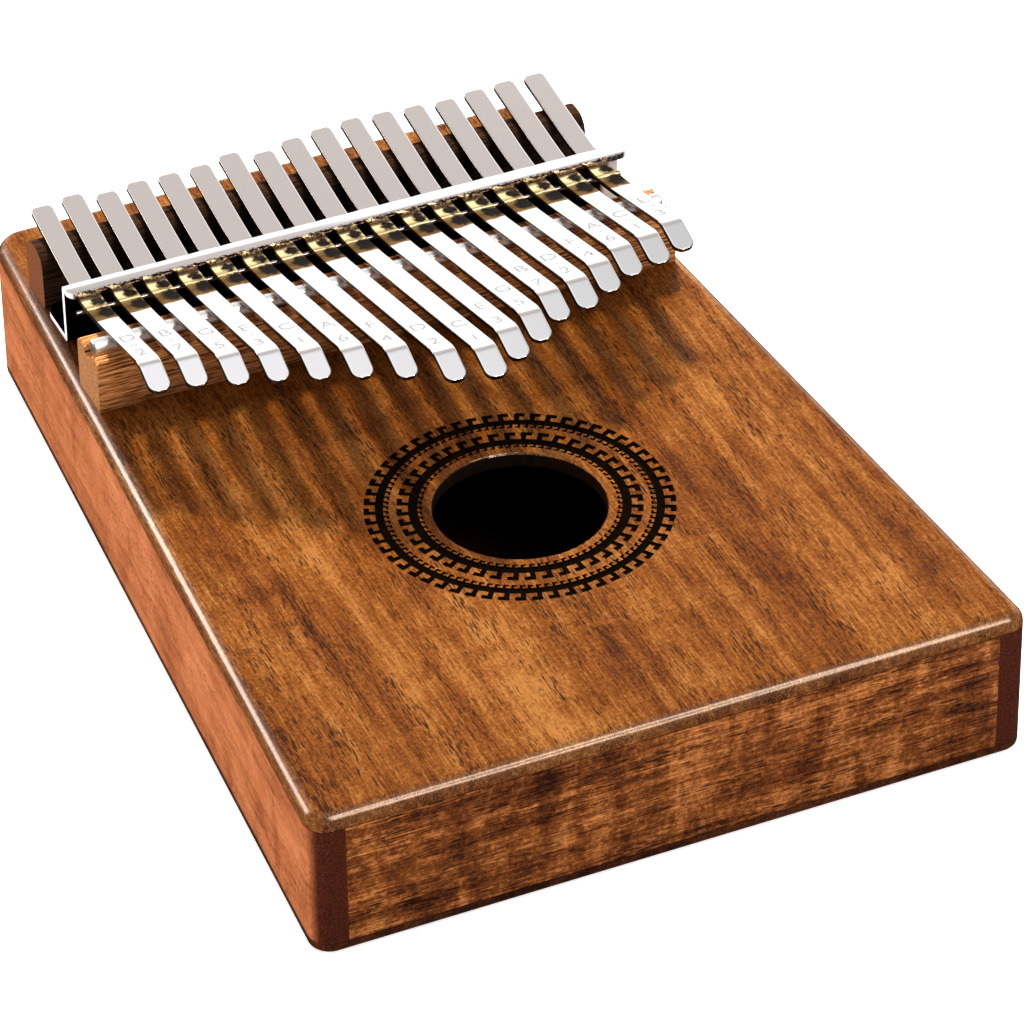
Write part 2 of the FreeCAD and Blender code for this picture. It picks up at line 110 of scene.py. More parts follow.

# Painted shade in the channel between bridge and saddle, under the tines: half its length along the box
# and half its width, first where the painted shade is full and then where it has gone
CHANNEL_Y = 54.0 * MM
CHANNEL_FULL = (11.0 * MM, 53.5 * MM)
CHANNEL_END = (14.4 * MM, 57.5 * MM)

# The bracket: its bright flange begins above the web's painted shade, and its stained lip faces the foot
WEB_SHADE_TOP = (40.6 * MM, 40.95 * MM)
LIP_STAIN = (51.75 * MM, 51.45 * MM)
BRIGHT_RIGHT_END = (53.5 * MM, 54.5 * MM)

SEAM_HALF = 0.09 * MM           # half the height of a glue line

# Burnt ornament around the sound hole: two rings of hooks, each with small hooks inside
HOLE_Y = -28.0 * MM
HOLE_REACH = 17.0 * MM          # upright faces nearer than this belong to the hole's wall
BURN_DEPTH = 0.25 * MM
RINGS = [                       # radii in mm: hook's tip, under its arm, band, small hooks' feet
    {"hooks": 58, "small": 104, "radii": [28.15, 27.15, 26.1, 24.6, 24.1, 23.65]},
    {"hooks": 44, "small": 76, "radii": [22.25, 21.25, 20.15, 18.45, 18.05, 17.65]},
]

# Notes, left to right: letter, number, and dots for the octave
NOTES = [
    ("D", "2", 2), ("B", "7", 1), ("G", "5", 1), ("E", "3", 1), ("C", "1", 1), ("A", "6", 0),
    ("F", "4", 0), ("D", "2", 0), ("C", "1", 0), ("E", "3", 0), ("G", "5", 0), ("B", "7", 0),
    ("D", "2", 1), ("F", "4", 1), ("A", "6", 1), ("C", "1", 2), ("E", "3", 2),
]

# ---------------------------------------------------------------- camera and lights

CAMERA_TARGET = Vector((7.8, -6.4, 11.3)) * MM
CAMERA_AZIMUTH = math.radians(23.456)     # turned from +Y towards +X
CAMERA_ELEVATION = math.radians(36.814)
CAMERA_DISTANCE = 1.0845
CAMERA_ROLL = math.radians(-0.942)
CAMERA_LENS = 206.3
FLOOR_GAP = 0.2 * MM

# Studio surroundings as bands: sine of the elevation, then colour.
# The white wall stands behind the box, seen from the camera; the room is the rest.
WALL_BEARING = (0.39, 0.92, 0.0)
WALL_EDGE = (0.42, 0.56)        # share of that bearing where the room turns into the wall
WALL_BANDS = [
    (-0.30, (0.10, 0.10, 0.10)), (-0.02, (0.50, 0.50, 0.50)), (0.00, (1.20, 1.20, 1.20)),
    (0.715, (1.20, 1.20, 1.20)), (0.755, (0.70, 0.635, 0.60)), (1.00, (0.70, 0.635, 0.60)),
]
ROOM_BANDS = [
    (-1.00, (0.06, 0.06, 0.06)), (-0.30, (0.12, 0.12, 0.12)), (0.00, (0.40, 0.40, 0.40)),
    (0.50, (0.30, 0.30, 0.30)), (0.88, (0.50, 0.50, 0.50)), (0.94, (1.00, 0.99, 1.00)),
]


def look_direction(azimuth, elevation):
    """Unit vector of a line of sight that falls at an elevation."""
    level = math.cos(elevation)
    return Vector((math.sin(azimuth) * level, math.cos(azimuth) * level, -math.sin(elevation)))


def add_camera():
    """The photographer's place and lens."""
    data = bpy.data.cameras.new("camera")
    data.lens = CAMERA_LENS
    data.sensor_width = 36
    data.clip_start = 0.05
    data.clip_end = 20
    camera = bpy.data.objects.new("camera", data)
    bpy.context.scene.collection.objects.link(camera)
    sight = look_direction(CAMERA_AZIMUTH, CAMERA_ELEVATION)
    turn = sight.to_track_quat("-Z", "Y").to_matrix().to_4x4()
    roll = Matrix.Rotation(CAMERA_ROLL, 4, "Z")
    camera.matrix_world = Matrix.Translation(CAMERA_TARGET - sight * CAMERA_DISTANCE) @ turn @ roll
    bpy.context.scene.camera = camera


def add_softbox(name, towards, distance, size, strength, colour=(1, 1, 1), glossy=True, diffuse=True):
    """Square lamp aimed at the box; strength is the brightness of a white surface facing it."""
    data = bpy.data.lights.new(name, "AREA")
    data.size = size
    data.energy = strength * (math.pi * distance) ** 2
    data.color = colour
    lamp = bpy.data.objects.new(name, data)
    bpy.context.scene.collection.objects.link(lamp)
    direction = Vector(towards).normalized()
    lamp.location = Vector((0, 0, TOP_Z)) + direction * distance
    lamp.rotation_euler = direction.to_track_quat("Z", "Y").to_euler()
    lamp.visible_glossy = glossy
    lamp.visible_diffuse = diffuse


def add_world():
    """Surroundings that the plating mirrors: a white wall behind, a dimmer room about."""
    world = bpy.data.worlds.new("studio")
    bpy.context.scene.world = world
    world.use_nodes = True
    tree = world.node_tree
    tree.nodes.clear()
    output = tree.nodes.new("ShaderNodeOutputWorld")
    background = tree.nodes.new("ShaderNodeBackground")
    split = tree.nodes.new("ShaderNodeSeparateXYZ")
    where = tree.nodes.new("ShaderNodeTexCoord")
    bearing = tree.nodes.new("ShaderNodeVectorMath")
    edge = tree.nodes.new("ShaderNodeMapRange")
    blend = tree.nodes.new("ShaderNodeMix")
    bearing.operation = "DOT_PRODUCT"
    bearing.inputs[1].default_value = WALL_BEARING
    edge.inputs["From Min"].default_value, edge.inputs["From Max"].default_value = WALL_EDGE
    blend.data_type = "RGBA"
    tree.links.new(where.outputs["Generated"], split.inputs[0])
    tree.links.new(where.outputs["Generated"], bearing.inputs[0])
    tree.links.new(bearing.outputs["Value"], edge.inputs["Value"])
    tree.links.new(edge.outputs[0], blend.inputs[0])
    tree.links.new(band_ramp(tree, split.outputs["Z"], ROOM_BANDS), blend.inputs[6])
    tree.links.new(band_ramp(tree, split.outputs["Z"], WALL_BANDS), blend.inputs[7])
    tree.links.new(blend.outputs[2], background.inputs[0])
    tree.links.new(background.outputs[0], output.inputs[0])


def band_ramp(tree, height, bands):
    """Colour by height from -1 to 1."""
    rescale = tree.nodes.new("ShaderNodeMapRange")
    rescale.inputs["From Min"].default_value = -1
    ramp = tree.nodes.new("ShaderNodeValToRGB")
    tree.links.new(height, rescale.inputs["Value"])
    tree.links.new(rescale.outputs[0], ramp.inputs[0])
    elements = ramp.color_ramp.elements
    while len(elements) < len(bands):
        elements.new(0.5)
    for element, (level, colour) in zip(elements, bands):
        element.position = (level + 1) / 2
        element.color = (*colour, 1)
    return ramp.outputs[0]


def add_stage():
    """Plain white floor just under the box, left out of reflections."""
    mesh = bpy.data.meshes.new("floor")
    half = 6.0
    corners = [(-half, -half, 0), (half, -half, 0), (half, half, 0), (-half, half, 0)]
    mesh.from_pydata(corners, [], [(0, 1, 2, 3)])
    floor = bpy.data.objects.new("floor", mesh)
    bpy.context.scene.collection.objects.link(floor)
    floor.location.z = -FLOOR_GAP
    floor.data.materials.append(floor_material())
    floor.visible_glossy = False


# ---------------------------------------------------------------- material helpers

class Nodes:
    """Short calls for building one material's node tree."""

    def __init__(self, name):
        self.material = bpy.data.materials.new(name)
        self.material.use_nodes = True
        self.tree = self.material.node_tree
        self.tree.nodes.clear()
        self.shader = self.new("ShaderNodeBsdfPrincipled")
        output = self.new("ShaderNodeOutputMaterial")
        self.link(self.shader.outputs[0], output.inputs[0])

    def new(self, kind):
        return self.tree.nodes.new(kind)

    def link(self, source, target):
        self.tree.links.new(source, target)

    def give(self, socket, value):
        """Sets an input to another node's output, a colour or a number."""
        if isinstance(value, bpy.types.NodeSocket):
            self.link(value, socket)
        elif hasattr(value, "__len__"):
            socket.default_value = (*value, 1)
        else:
            socket.default_value = value

    def surface(self, colour, roughness, normal):
        """Links the shader's three usual inputs."""
        self.link(colour, self.shader.inputs["Base Color"])
        self.link(roughness, self.shader.inputs["Roughness"])
        self.link(normal, self.shader.inputs["Normal"])

    def set(self, **values):
        """Sets constants on the shader, such as Coat_Roughness=0.2."""
        for key, value in values.items():
            self.shader.inputs[key.replace("_", " ")].default_value = value

    def place(self, stretch):
        """Object position in millimetres, squeezed along the grain."""
        where = self.new("ShaderNodeTexCoord")
        scale = self.new("ShaderNodeMapping")
        self.link(where.outputs["Object"], scale.inputs[0])
        scale.inputs["Scale"].default_value = [s / MM for s in stretch]
        return scale.outputs[0]

    def noise(self, stretch, detail=3.0, rough=0.55, distortion=0.0):
        """Cloudy pattern from 0 to 1; stretch is how many cells there are to a millimetre."""
        node = self.new("ShaderNodeTexNoise")
        self.link(self.place(stretch), node.inputs["Vector"])
        node.inputs["Scale"].default_value = 1.0
        node.inputs["Detail"].default_value = detail
        node.inputs["Roughness"].default_value = rough
        node.inputs["Distortion"].default_value = distortion
        return node.outputs["Fac"]

    def fade(self, value, start, end, low=0.0, high=1.0):
        """Goes evenly from low to high while a value goes from start to end."""
        node = self.new("ShaderNodeMapRange")
        self.link(value, node.inputs["Value"])
        node.inputs["From Min"].default_value = start
        node.inputs["From Max"].default_value = end
        node.inputs["To Min"].default_value = low
        node.inputs["To Max"].default_value = high
        return node.outputs[0]

    def ramp(self, value, stops):
        """Colours, or numbers, at stops from 0 to 1."""
        node = self.new("ShaderNodeValToRGB")
        self.link(value, node.inputs[0])
        elements = node.color_ramp.elements
        colours = [(p, c if hasattr(c, "__len__") else (c, c, c)) for p, c in stops]
        elements[0].position, elements[0].color = colours[0][0], (*colours[0][1], 1)
        elements[1].position, elements[1].color = colours[-1][0], (*colours[-1][1], 1)
        for position, colour in colours[1:-1]:
            elements.new(position).color = (*colour, 1)
        return node.outputs[0]

    def mix(self, share, a, b, blend="MIX"):
        """Colour a with a share of colour b laid over it."""
        node = self.new("ShaderNodeMix")
        node.data_type = "RGBA"
        node.blend_type = blend
        for value, index in ((share, 0), (a, 6), (b, 7)):
            self.give(node.inputs[index], value)
        return node.outputs[2]

    def math(self, operation, a, b=0.0, c=None):
        node = self.new("ShaderNodeMath")
        node.operation = operation
        for value, socket in zip((a, b, c), node.inputs):
            if value is not None:
                self.give(socket, value)
        return node.outputs[0]

    def size(self, value):
        """A value without its sign."""
        return self.math("ABSOLUTE", value)

    def axis(self, source, letter):
        """One component of the object position ("Object") or the surface normal ("Normal")."""
        split = self.new("ShaderNodeSeparateXYZ")
        kind = "ShaderNodeNewGeometry" if source == "Normal" else "ShaderNodeTexCoord"
        self.link(self.new(kind).outputs[source], split.inputs[0])
        return split.outputs[letter]

    def bump(self, height, strength, distance, after=None):
        """Surface normal that a height pattern gives, on top of an earlier bump if there is one."""
        node = self.new("ShaderNodeBump")
        self.link(height, node.inputs["Height"])
        node.inputs["Strength"].default_value = strength
        node.inputs["Distance"].default_value = distance
        if after is not None:
            self.link(after, node.inputs["Normal"])
        return node.outputs[0]

    def brushing(self, lines, after=None):
        """Faint relief of polishing lines."""
        return self.bump(lines, 0.03, 0.004 * MM, after)


def floor_material():
    """Self-lit white table."""
    nodes = Nodes("floor")
    nodes.set(Base_Color=(0.6, 0.6, 0.6, 1), Roughness=0.9, Specular_IOR_Level=0.0)
    nodes.set(Emission_Color=(1, 1, 1, 1), Emission_Strength=0.75)
    return nodes.material


# ---------------------------------------------------------------- wood

# Tones from dark to light, how strongly each kind of figure shows, the size of the curl and the
# pores in cells to a millimetre, and the lacquer's coat on flat and on curved faces
TOP_WOOD = {
    "tones": [(0.066, 0.014, 0.0005), (0.20, 0.063, 0.006), (0.37, 0.165, 0.042)],
    "figure": 0.65, "streak": 0.8, "fibre": 1.1, "mottle": 1.1, "curl": 0.45, "curl_size": 0.075,
    "pores": 0.42, "pore_across": 2.7, "pore_along": 0.3, "coat": (0.1, 1.0),
}
SIDE_WOOD = {
    "tones": [(0.20, 0.054, 0.014), (0.41, 0.142, 0.048), (0.55, 0.22, 0.098)],
    "figure": 0.7, "streak": 0.6, "fibre": 0.8, "mottle": 0.8, "curl": 0.6, "curl_size": 0.1,
    "pores": 0.26, "pore_across": 2.4, "pore_along": 0.4, "coat": (0.12, 0.3),
}
PANEL_WOOD = {
    "tones": [(0.045, 0.008, 0.001), (0.24, 0.07, 0.009), (0.64, 0.26, 0.075)],
    "figure": 0.5, "streak": 0.9, "fibre": 1.2, "mottle": 1.1, "curl": 0.9, "curl_size": 0.13,
    "pores": 0.42, "pore_across": 3.0, "pore_along": 0.24, "coat": (0.12, 0.3),
}
BACK_WOOD = dict(PANEL_WOOD, tones=[(0.02, 0.004, 0.001), (0.075, 0.018, 0.003), (0.16, 0.05, 0.012)])


def grain_stretch(axis, across, along):
    """Scale for noise: fine across the grain, long along it."""
    return [along if letter == axis else across for letter in "XYZ"]


def wood_material(name, axis, wood, end_axis=None, end_tone=(0.085, 0.016, 0.004), seams=(), channel=False):
    """Lacquered wood with figure, fibre, pores, dark glue lines and, on its end faces, end grain; with
    channel, painted shade under the tines.
    """
    nodes = Nodes(name)
    layers = [
        (wood["figure"], nodes.noise(grain_stretch(axis, 0.085, 0.012), detail=3, distortion=0.8)),
        (wood["streak"], nodes.noise(grain_stretch(axis, 0.42, 0.018), detail=4, rough=0.6)),
        (wood["fibre"], nodes.noise(grain_stretch(axis, 2.6, 0.16), detail=4, rough=0.7)),
        (wood["mottle"], nodes.noise((1.3, 1.3, 1.3), detail=5, rough=0.75)),
        (wood["curl"], nodes.noise(grain_stretch(axis, 0.04, wood["curl_size"]), detail=3, distortion=0.9)),
    ]
    tone = 0.5 - 0.5 * sum(share for share, _ in layers)
    for share, layer in layers:
        tone = nodes.math("MULTIPLY_ADD", layer, share, tone)
    dark, middle, light = wood["tones"]
    colour = nodes.ramp(tone, [(0.16, dark), (0.5, middle), (0.84, light)])

    dashes = nodes.new("ShaderNodeTexVoronoi")
    cells = nodes.place(grain_stretch(axis, wood["pore_across"], wood["pore_along"]))
    nodes.link(cells, dashes.inputs["Vector"])
    dashes.inputs["Scale"].default_value = 1.0
    zones = nodes.noise(grain_stretch(axis, 0.2, 0.03), detail=3, rough=0.6)
    reach = nodes.fade(zones, 0.36, 0.62, 0.25 * wood["pores"], wood["pores"])
    depth = nodes.math("SUBTRACT", reach, dashes.outputs["Distance"])
    pore = nodes.fade(depth, 0.0, 0.08)
    colour = nodes.mix(nodes.math("MULTIPLY", pore, 0.85), colour, [0.18 * c for c in dark])
    if end_axis:
        end = nodes.fade(nodes.size(nodes.axis("Normal", end_axis)), 0.25, 0.7)
        speckle = nodes.noise((2.6, 2.6, 2.6), detail=4, rough=0.75)
        specks = [(0.34, [0.3 * c for c in end_tone]), (0.5, end_tone), (0.7, [2.2 * c for c in end_tone])]
        colour = nodes.mix(end, colour, nodes.ramp(speckle, specks))
    for seam_z in seams:
        away = nodes.size(nodes.math("SUBTRACT", nodes.axis("Object", "Z"), seam_z))
        line = nodes.math("LESS_THAN", away, SEAM_HALF)
        colour = nodes.mix(nodes.math("MULTIPLY", line, 0.8), colour, [0.3 * c for c in dark])
    if channel:
        # Painted shade: the channel under the tines is darkened towards near black
        off_line = nodes.size(nodes.math("SUBTRACT", nodes.axis("Object", "Y"), CHANNEL_Y))
        off_middle = nodes.size(nodes.axis("Object", "X"))
        along = nodes.fade(off_line, CHANNEL_FULL[0], CHANNEL_END[0], 0.9, 0.0)
        across = nodes.fade(off_middle, CHANNEL_FULL[1], CHANNEL_END[1], 1.0, 0.0)
        colour = nodes.mix(nodes.math("MULTIPLY", along, across), colour, PAINTED_BLACK)
    sheen = nodes.noise(grain_stretch(axis, 0.6, 0.15), detail=3)
    relief = nodes.bump(layers[2][1], 0.3, 0.03 * MM)
    relief = nodes.bump(pore, -0.7, 0.06 * MM, relief)
    nodes.surface(colour, nodes.fade(sheen, 0.3, 0.7, 0.44, 0.56), relief)
    flat, curved = wood["coat"]
    tilt = nodes.size(nodes.axis("Normal", "Z"))
    nodes.link(nodes.ramp(tilt, [(0.1, flat), (0.35, curved), (0.93, curved), (0.99, flat)]),
               nodes.shader.inputs["Coat Weight"])
    nodes.set(Coat_Roughness=0.2, Coat_IOR=1.5, Specular_IOR_Level=0.12)
    return nodes.material


def raw_wood_material(name, axis, tones, end_tones):
    """Matt bare wood with dark lines along the grain and speckled end grain."""
    nodes = Nodes(name)
    lines = nodes.noise(grain_stretch(axis, 2.8, 0.12), detail=4, rough=0.7, distortion=0.4)
    colour = nodes.ramp(lines, [(0.36, tones[0]), (0.43, tones[1]), (0.51, tones[2]), (0.66, tones[3])])
    fibre = nodes.noise(grain_stretch(axis, 6.0, 0.35), detail=2)
    colour = nodes.mix(nodes.fade(fibre, 0.3, 0.55, 0.4, 0.0), colour, tones[0])
    end = nodes.fade(nodes.size(nodes.axis("Normal", axis)), 0.72, 0.86)
    speckle = nodes.noise((3.5, 3.5, 3.5), detail=3, rough=0.7)
    rings = nodes.ramp(speckle, [(0.32, end_tones[0]), (0.5, end_tones[1]), (0.7, end_tones[2])])
    nodes.surface(nodes.mix(end, colour, rings), nodes.fade(fibre, 0.3, 0.7, 0.62, 0.78),
                  nodes.bump(lines, 0.5, 0.08 * MM))
    nodes.set(Specular_IOR_Level=0.08)
    return nodes.material


def burnt_material():
    """Charred wood of the ornament."""
    nodes = Nodes("burnt_wood")
    char = nodes.noise((2.2, 0.5, 2.2), detail=4, rough=0.7)
    soot, charcoal, scorch = (0.002, 0.001, 0.0005), (0.006, 0.003, 0.001), (0.035, 0.013, 0.004)
    nodes.surface(nodes.ramp(char, [(0.35, soot), (0.6, charcoal), (0.8, scorch)]),
                  nodes.fade(char, 0.3, 0.7, 0.75, 0.95), nodes.bump(char, 0.8, 0.1 * MM))
    nodes.set(Specular_IOR_Level=0.03)
    return nodes.material


def dark_inside_material():
    """Near-black wood of the hole's burnt wall, and of the inside of the box, where the near black is
    painted shade.
    """
    nodes = Nodes("unlit_inside_wood")
    grain = nodes.noise((0.8, 0.05, 0.8), detail=3)
    nodes.link(nodes.ramp(grain, [(0.3, (0.010, 0.004, 0.002)), (0.7, (0.022, 0.009, 0.004))]),
               nodes.shader.inputs["Base Color"])
    nodes.link(nodes.fade(grain, 0.3, 0.7, 0.8, 0.9), nodes.shader.inputs["Roughness"])
    nodes.set(Specular_IOR_Level=0.1)
    return nodes.material


# ---------------------------------------------------------------- metal

def plated_material(name, colour, low_rough, high_rough, brush):
    """Polished plating with faint brushing and small changes of polish."""
    nodes = Nodes(name)
    lines = nodes.noise(brush, detail=2)
    cloud = nodes.noise((0.25, 0.25, 0.25), detail=2)
    tint = nodes.ramp(cloud, [(0.3, tuple(0.965 * c for c in colour)), (0.7, colour)])
    nodes.surface(tint, nodes.fade(lines, 0.3, 0.7, low_rough, high_rough), nodes.brushing(lines))
    nodes.set(Metallic=1.0)
    return nodes.material


def steel_material():
    """Polished tine steel, with reflections painted into its colour where the flange and the wire press it,
    and dark painted reflections on its sides and cut ends.
    """
    nodes = Nodes("tine_steel")
    along = nodes.axis("Object", "Y")
    # Painted reflection: between the rod and the flange the colour stands in for what the steel mirrors,
    # and the metal is mostly turned off there
    drift = nodes.fade(nodes.noise((0.35, 0.8, 0.8), detail=2), 0.0, 1.0, -REFLECTION_DRIFT, REFLECTION_DRIFT)
    share = nodes.fade(nodes.math("ADD", along, drift), REFLECTION_START, REFLECTION_END)
    colour = nodes.ramp(share, [(0.0, STEEL)] + PAINTED_REFLECTION_STOPS + [(1.0, STEEL)])
    painted_reflection_zone = nodes.ramp(share, [(0.0, 0.0), (0.03, 0.85), (0.88, 0.85), (0.95, 0.0)])
    colour = add_reflection_blotches(nodes, colour, along)
    # Painted reflection: the sides and cut ends are darkened in the colour, standing for the dark parts
    # they mirror
    flank = nodes.size(nodes.axis("Normal", "X"))
    cut_end = nodes.math("SUBTRACT", nodes.size(nodes.axis("Normal", "Y")), 0.12)
    edge = nodes.fade(nodes.math("MAXIMUM", flank, cut_end), 0.42, 0.75)
    colour = nodes.mix(edge, colour, (0.16, 0.14, 0.13), "MULTIPLY")
    brush = nodes.noise((0.6, 6, 0.6), detail=2)
    polish = nodes.fade(brush, 0.3, 0.7, 0.07, 0.12)
    rough = nodes.math("MULTIPLY_ADD", painted_reflection_zone, 0.3, polish)
    nodes.surface(colour, rough, nodes.brushing(brush, straightened_rear(nodes, along)))
    nodes.link(nodes.math("SUBTRACT", 1.0, painted_reflection_zone), nodes.shader.inputs["Metallic"])
    nodes.set(Specular_IOR_Level=0.05)
    return nodes.material


def add_reflection_blotches(nodes, colour, along):
    """Lays ragged dark spots, painted reflections of dark parts nearby, over a colour, in the same place on
    every tine.
    """
    across = nodes.math("MULTIPLY_ADD", nodes.axis("Object", "X"), 1 / PITCH, 0.5)
    across = nodes.math("MULTIPLY", nodes.math("SUBTRACT", nodes.math("FRACT", across), 0.5), PITCH)
    ripple = nodes.noise((0.9, 0.9, 0.9), detail=3)
    for centre_x, centre_y, radius_x, radius_y in PAINTED_REFLECTION_BLOTCHES:
        dx = nodes.math("MULTIPLY_ADD", across, 1 / radius_x, -centre_x / radius_x)
        dy = nodes.math("MULTIPLY_ADD", along, 1 / radius_y, -centre_y / radius_y)
        distance = nodes.math("ADD", nodes.math("MULTIPLY", dx, dx), nodes.math("MULTIPLY", dy, dy))
        ragged = nodes.math("MULTIPLY_ADD", ripple, 1.8, distance)
        colour = nodes.mix(nodes.fade(ragged, 1.3, 1.9, 1.0, 0.0), colour, PAINTED_BLACK)
    return colour


def straightened_rear(nodes, along):
    """Normal that hides a tine's rise behind the flange, so that it mirrors as a flat strip."""
    span, _, slope = SADDLE_SPAN
    reach = nodes.fade(along, BAR_Y, BAR_Y + span)
    height = nodes.math("MULTIPLY_ADD", reach, 1 / 3, -1.0)
    height = nodes.math("MULTIPLY_ADD", nodes.math("MULTIPLY", height, reach), reach, reach)
    return nodes.bump(nodes.math("MULTIPLY", height, slope * span), 1.0, 1.0)


def bracket_material():
    """Bright plating on the pressure flange; the web below it is painted near black as painted shade and
    reflection, save at its right end, and its lip is stained.
    """
    nodes = Nodes("bracket_chrome")
    lines = nodes.noise((0.5, 3, 3), detail=2)
    height = nodes.axis("Object", "Z")
    right_end = nodes.fade(nodes.axis("Object", "X"), *BRIGHT_RIGHT_END, 0.0, 0.9)
    bright = nodes.math("MAXIMUM", nodes.fade(height, *WEB_SHADE_TOP), right_end)
    # Painted shade and reflection: below the flange the web is near black, except at its right end
    colour = nodes.mix(bright, (0.012, 0.009, 0.008), (0.95, 0.95, 0.96))
    lip = nodes.fade(nodes.axis("Object", "Y"), *LIP_STAIN)
    flakes = nodes.fade(nodes.noise((1.6, 1.6, 1.6), detail=4, rough=0.7), 0.48, 0.56)
    colour = nodes.mix(nodes.math("MULTIPLY", lip, flakes), colour, (0.13, 0.07, 0.025))
    cut_end = nodes.fade(nodes.size(nodes.axis("Normal", "X")), 0.35, 0.6)
    below = nodes.fade(height, *WEB_SHADE_TOP, 1.0, 0.0)
    matt = nodes.math("MAXIMUM", cut_end, nodes.math("MULTIPLY", below, right_end))
    polish = nodes.fade(lines, 0.3, 0.7, 0.06, 0.11)
    nodes.surface(nodes.mix(matt, colour, (0.9, 0.9, 0.9)),
                  nodes.math("MULTIPLY_ADD", matt, 0.35, polish), nodes.brushing(lines))
    nodes.link(nodes.math("MULTIPLY_ADD", matt, -0.8, 1.0), nodes.shader.inputs["Metallic"])
    return nodes.material


def etched_material():
    """Dull grey steel of the engraved notes."""
    nodes = Nodes("etched_mark")
    grime = nodes.noise((4, 4, 4), detail=2)
    nodes.link(nodes.ramp(grime, [(0.3, (0.42, 0.41, 0.40)), (0.7, (0.60, 0.59, 0.58))]),
               nodes.shader.inputs["Base Color"])
    nodes.link(nodes.fade(grime, 0.3, 0.7, 0.3, 0.45), nodes.shader.inputs["Roughness"])
    nodes.set(Metallic=0.9)
    return nodes.material


# ---------------------------------------------------------------- mesh helpers

def new_piece(name, bm, materials, body=ROOT, stands_for=(), smooth_below=math.radians(32)):
    """Mesh object from a bmesh, smooth across edges flatter than an angle.

    It rides on a body, unless that is None, and stands for the named CAD nodes.
    """
    for edge in bm.edges:
        edge.smooth = len(edge.link_faces) == 2 and edge.calc_face_angle(0.0) < smooth_below
    for face in bm.faces:
        face.smooth = True
    mesh = bpy.data.meshes.new(name)
    bm.to_mesh(mesh)
    bm.free()
    piece = bpy.data.objects.new(name, mesh)
    bpy.context.scene.collection.objects.link(piece)
    for material in materials:
        mesh.materials.append(material)
    if stands_for:
        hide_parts(*stands_for)
    if body:
        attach(piece, body)
    return piece


def cad_bmesh(node):
    """Copy of a CAD node's mesh with its seams welded."""
    bm = bmesh.new()
    bm.from_mesh(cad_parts[node].data)
    bmesh.ops.remove_doubles(bm, verts=bm.verts, dist=1e-6)
    bmesh.ops.recalc_face_normals(bm, faces=bm.faces)
    return bm


def eased_copy(node, radius, material):
    """The CAD node's shape with its sharp edges eased, standing for the node."""
    bm = cad_bmesh(node)
    bmesh.ops.dissolve_limit(bm, angle_limit=math.radians(1), verts=bm.verts, edges=bm.edges)
    sharp = [e for e in bm.edges if len(e.link_faces) == 2 and e.calc_face_angle(0.0) > math.radians(35)]
    bmesh.ops.bevel(bm, geom=sharp, offset=radius, segments=2, profile=0.5,
                    affect="EDGES", clamp_overlap=True)
    new_piece(node + "_eased", bm, [material], stands_for=[node])


# ---------------------------------------------------------------- top board with its ornament

def hook_ring(ring):
    """Outer and inner outlines of one burnt ring, as lists of (radius, angle)."""
    tip, under_arm, band_top, band_low, foot_top, foot = [r * MM for r in ring["radii"]]
    outer = []
    step = 2 * math.pi / ring["hooks"]
    third = step / 3
    for index in range(ring["hooks"]):
        start = index * step
        outer += [(band_top, start), (band_top, start + third), (band_top, start + 2 * third)]
        outer += [(under_arm, start + 2 * third), (under_arm, start + third), (tip, start + third)]
        outer += [(tip, start + 2 * third), (tip, start + 3 * third), (under_arm, start + 3 * third)]
    inner = []
    step = 2 * math.pi / ring["small"]
    third = step / 3
    for index in range(ring["small"]):
        start = index * step
        inner += [(band_low, start), (foot_top, start), (foot, start), (foot, start + third)]
        inner += [(foot, start + 2 * third), (foot_top, start + 2 * third), (foot_top, start + third)]
        inner += [(band_low, start + third), (band_low, start + 2 * third)]
    return outer, inner


def is_burnt(radius, angle):
    """True where a point of the top board lies in the burnt ornament."""
    for ring in RINGS:
        tip, under_arm, band_top, band_low, foot_top, foot = [r * MM for r in ring["radii"]]
        if not foot < radius < tip:
            continue
        big = angle / (2 * math.pi) * ring["hooks"] % 1
        small = angle / (2 * math.pi) * ring["small"] % 1
        if radius > under_arm:
            return big > 1 / 3
        if radius > band_top:
            return big > 2 / 3
        if radius > band_low:
            return True
        if radius > foot_top:
            return small < 1 / 3
        return small < 2 / 3
    return False


def polar(x, y):
    """Radius and angle about the sound hole's middle."""
    return math.hypot(x, y - HOLE_Y), math.atan2(y - HOLE_Y, x) % (2 * math.pi)


def boundary_loops(bm):
    """Closed chains of the open edges of a mesh, as lists of vertices."""
    open_edges = {e for e in bm.edges if len(e.link_faces) == 1}
    loops = []
    while open_edges:
        edge = open_edges.pop()
        chain = [edge.verts[0], edge.verts[1]]
        while chain[-1] is not chain[0]:
            following = next(e for e in chain[-1].link_edges if e in open_edges)
            open_edges.remove(following)
            chain.append(following.other_vert(chain[-1]))
        loops.append(chain[:-1])
    return loops


def inside(point, loop):
    """Even-odd test of a point against a closed outline."""
    x, y = point
    hit = False
    for (x1, y1), (x2, y2) in zip(loop, loop[1:] + loop[:1]):
        if (y1 > y) != (y2 > y) and x < (x2 - x1) * (y - y1) / (y2 - y1) + x1:
            hit = not hit
    return hit


